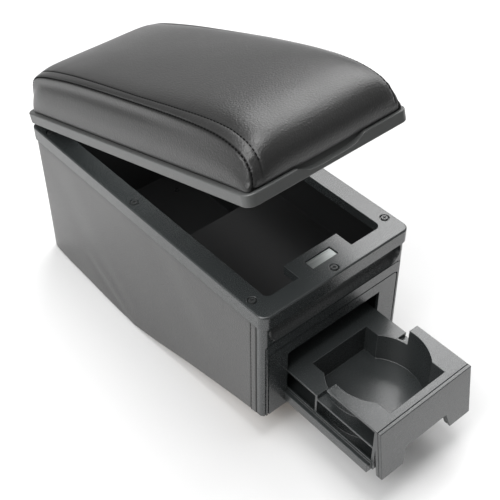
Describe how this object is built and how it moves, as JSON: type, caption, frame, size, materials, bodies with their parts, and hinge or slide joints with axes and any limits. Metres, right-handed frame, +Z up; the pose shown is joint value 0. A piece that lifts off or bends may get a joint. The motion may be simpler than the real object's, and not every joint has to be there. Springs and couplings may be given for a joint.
{
  "type": "car centre armrest",
  "caption": "Car centre armrest: a leather-wrapped storage box with a hinged padded lid, a screwed-on top frame and a pull-out cup-holder drawer.",
  "frame": {"origin": "centre of the four mounting holes, on the surface that the armrest is screwed to", "axes": "+Z up, +Y to the hinge at the rear, -Y to the drawer at the front"},
  "size_m": [0.156, 0.4281, 0.2804],
  "materials": {
    "carcass_board": "matte",
    "rail_steel": "satin",
    "black_leather": "satin",
    "black_plastic": "matte",
    "bin_plastic": "matte",
    "magnet_nickel": "satin",
    "black_screws": "satin",
    "hinge_steel": "satin",
    "pad_foam": "matte",
    "buffer_rubber": "matte"
  },
  "bodies": {
    "box": {"left_panel": "carcass_board", "right_panel": "carcass_board", "rear_panel": "carcass_board", "bottom_board": "carcass_board", "mount_rail_left": "rail_steel", "mount_rail_right": "rail_steel", "leather_wrap": "black_leather", "front_fascia": "black_plastic", "top_frame": "black_plastic", "storage_bin": "bin_plastic", "drawer_housing": "black_plastic", "catch_magnet": "magnet_nickel", "frame_screws": "black_screws", "housing_screws": "black_screws", "bin_screws": "black_screws", "rail_screws": "black_screws", "hinge_box_screws": "black_screws", "hinge_box_leaf": "hinge_steel", "hinge_pin": "hinge_steel"},
    "lid": {"lid_rim": "black_plastic", "lid_foam": "pad_foam", "lid_cover": "black_leather", "lid_liner": "black_plastic", "liner_screws": "black_screws", "lid_strike": "hinge_steel", "lid_buffers": "buffer_rubber", "hinge_lid_leaf": "hinge_steel", "hinge_lid_screws": "black_screws"},
    "drawer": {"drawer_tray": "black_plastic", "drawer_face": "black_plastic", "face_screws": "black_screws"}
  },
  "joints": [
    {"name": "lid_hinge", "type": "hinge", "parent": "box", "child": "lid", "pos_m": [0, 0.1617, 0.1468], "axis": [-1, 0, 0], "range_deg": [-17.3, 77.7]},
    {"name": "drawer_slide", "type": "slide", "parent": "box", "child": "drawer", "axis": [0, 1, 0], "range_m": [0, 0.099]}
  ]
}
